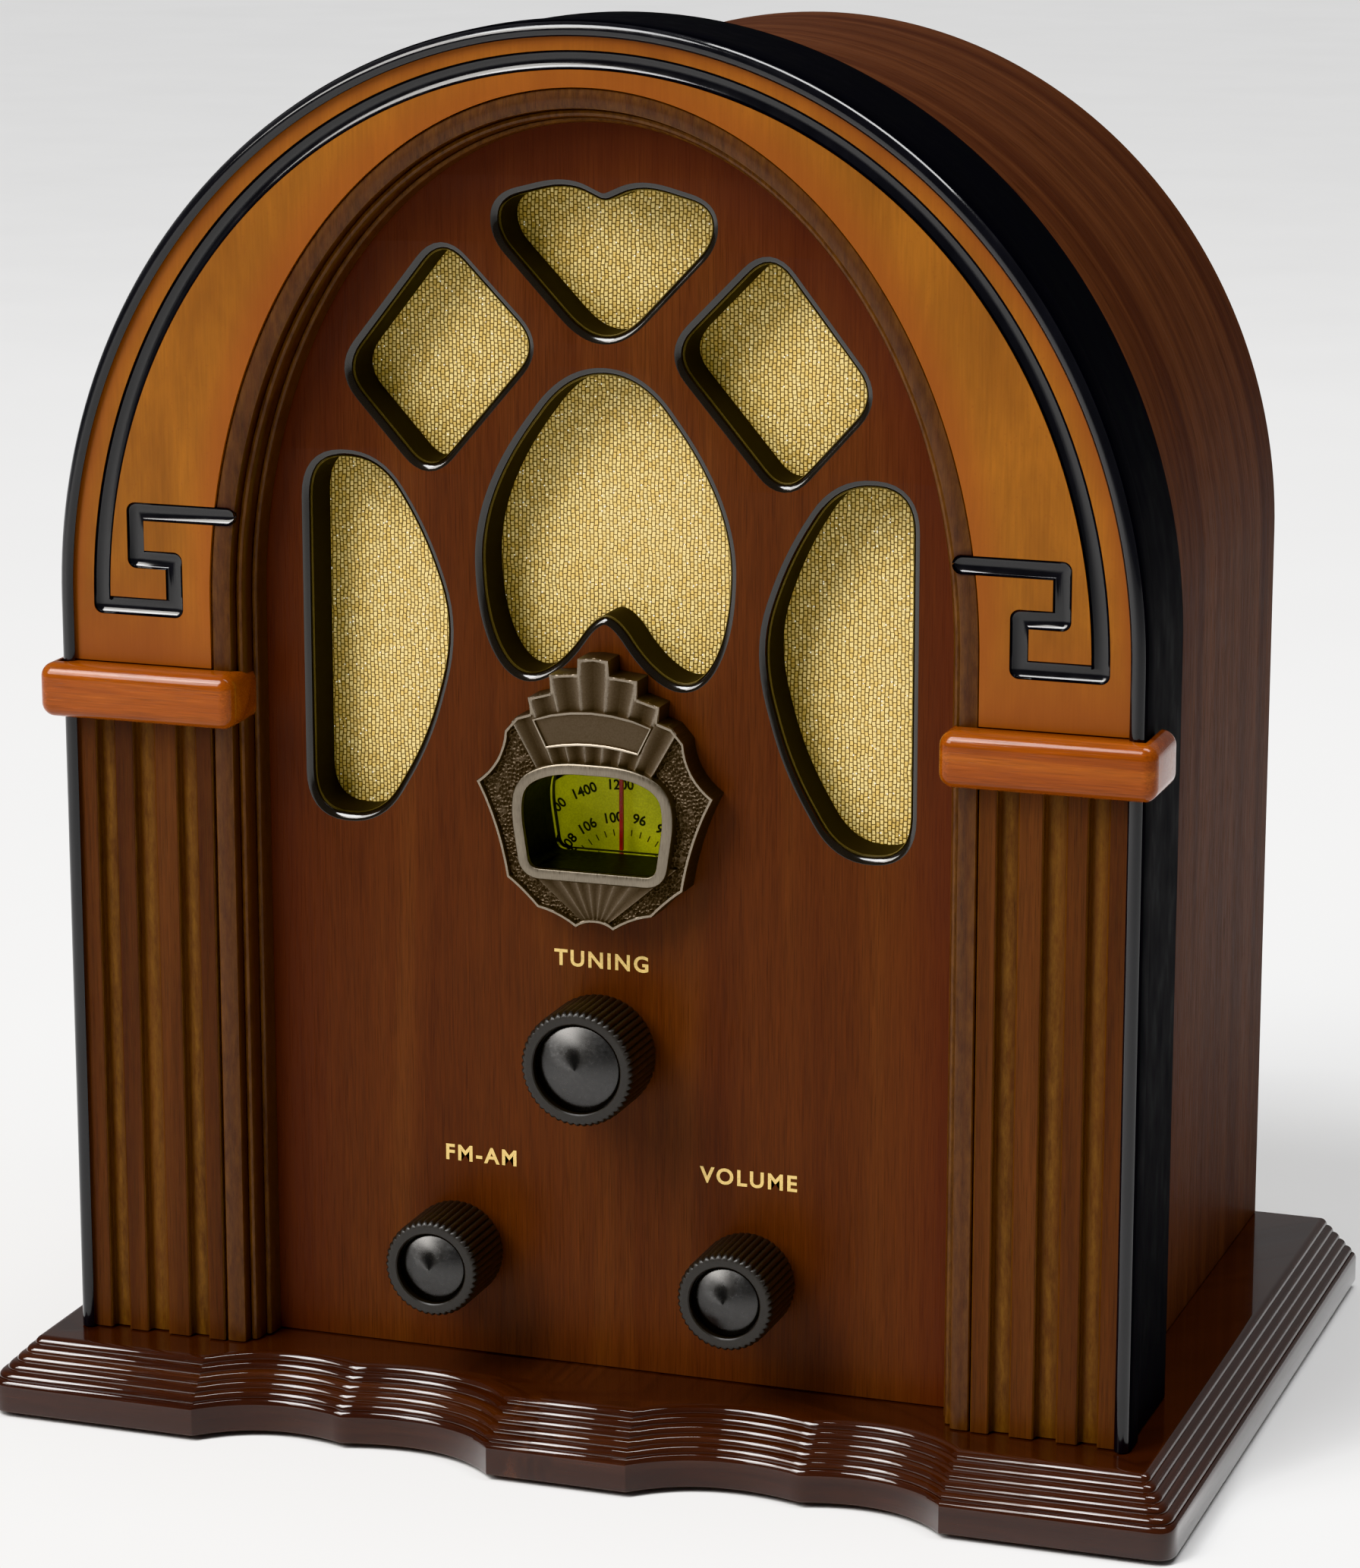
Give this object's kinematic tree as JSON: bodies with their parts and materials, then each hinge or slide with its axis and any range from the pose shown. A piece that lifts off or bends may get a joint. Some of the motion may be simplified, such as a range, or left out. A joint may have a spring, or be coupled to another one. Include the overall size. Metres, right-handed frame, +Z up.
{
  "type": "cathedral radio",
  "caption": "Tabletop cathedral radio with an arched plywood cabinet, pierced grille panel with cloth, lit tuning dial, knobs and a serpentine moulded base.",
  "frame": {"origin": "middle of the footprint, on the floor", "axes": "+Z up, the front faces -Y, +X to the right seen from the front"},
  "size_m": [0.2616, 0.1798, 0.3005],
  "materials": {
    "walnut": "satin lacquered walnut veneer",
    "base_wood": "gloss lacquered dark walnut",
    "red_walnut": "satin lacquered red walnut with darkened edges",
    "fluted_wood": "antiqued dark walnut",
    "amber": "satin amber lacquer",
    "capital_amber": "gloss amber lacquer",
    "lacquer": "gloss black lacquer",
    "cloth": "woven gold speaker cloth",
    "pewter": "antiqued pewter",
    "black_plastic": "fine texture",
    "gloss_black": "gloss",
    "clear": "clear",
    "dial": "printed translucent",
    "pointer": "gloss",
    "brass": "turned",
    "steel": "zinc plated",
    "circuit_board": "solder mask",
    "fibreboard": "raw board",
    "paper": "pressed paper",
    "foam": "rubberised",
    "ferrite": "sintered",
    "copper": "enamelled wire",
    "rubber": "matt"
  },
  "bodies": {
    "cabinet": {"base_plinth": "base_wood", "foot_front_left": "rubber", "foot_front_right": "rubber", "foot_rear_left": "rubber", "foot_rear_right": "rubber", "cabinet_wrap": "walnut", "edge_moulding": "lacquer", "arch_panel": "amber", "grille_moulding": "fluted_wood", "pilaster_left": "fluted_wood", "pilaster_right": "fluted_wood", "capital_left": "capital_amber", "capital_right": "capital_amber", "grille_panel": "red_walnut", "speaker_cloth": "cloth", "baffle_board": "fibreboard", "speaker_basket": "steel", "speaker_magnet": "ferrite", "speaker_surround": "foam", "escutcheon": "pewter", "dial_tunnel": "black_plastic", "dial_window": "clear", "dial_pointer": "pointer", "tuning_bushing": "brass", "mode_switch": "black_plastic", "volume_control": "steel", "chassis_bracket": "steel", "tuning_capacitor": "steel", "lamp_holder": "black_plastic", "dial_lamp": "clear", "main_board": "circuit_board", "board_stand": "fibreboard", "filter_capacitor": "gloss_black", "receiver_module": "circuit_board", "ferrite_rod": "ferrite", "ferrite_coil": "copper", "rod_saddle": "black_plastic", "rear_panel": "fibreboard", "rear_cleat_left": "fibreboard", "rear_cleat_right": "fibreboard", "power_inlet": "black_plastic", "aux_jack": "black_plastic", "antenna_terminal": "black_plastic", "rear_screw_1": "brass", "rear_screw_2": "brass", "rear_screw_3": "brass", "rear_screw_4": "brass"},
    "tuning": {"tuning_knob": "black_plastic", "tuning_knob_insert": "gloss_black", "tuning_shaft": "steel", "tuning_pinion": "brass"},
    "dial": {"dial_disc": "dial", "dial_gear": "brass"},
    "mode": {"mode_knob": "black_plastic", "mode_knob_insert": "gloss_black", "mode_shaft": "steel"},
    "volume": {"volume_knob": "black_plastic", "volume_knob_insert": "gloss_black", "volume_shaft": "steel"},
    "cone": {"speaker_cone": "paper"}
  },
  "joints": [
    {"name": "dial_turn", "type": "hinge", "parent": "cabinet", "child": "dial", "pos_m": [0, 0, 0.1173], "axis": [0, 1, 0], "range_deg": [-90, 90]},
    {"name": "tuning_turn", "type": "hinge", "parent": "cabinet", "child": "tuning", "pos_m": [0, 0, 0.0868], "axis": [0, 1, 0], "range_deg": [-270, 270]},
    {"name": "mode_turn", "type": "hinge", "parent": "cabinet", "child": "mode", "pos_m": [-0.0325, 0, 0.0402], "axis": [0, 1, 0], "range_deg": [-30, 30]},
    {"name": "volume_turn", "type": "hinge", "parent": "cabinet", "child": "volume", "pos_m": [0.0325, 0, 0.0402], "axis": [0, 1, 0], "range_deg": [0, 300]},
    {"name": "cone_travel", "type": "slide", "parent": "cabinet", "child": "cone", "axis": [0, 1, 0], "range_m": [-0.0015, 0.0015], "stiffness_N_per_m": 1500, "deforming": ["speaker_surround"]}
  ],
  "couplings": [
    {"joint": "tuning_turn", "follows": "dial_turn", "ratio": -3}
  ]
}
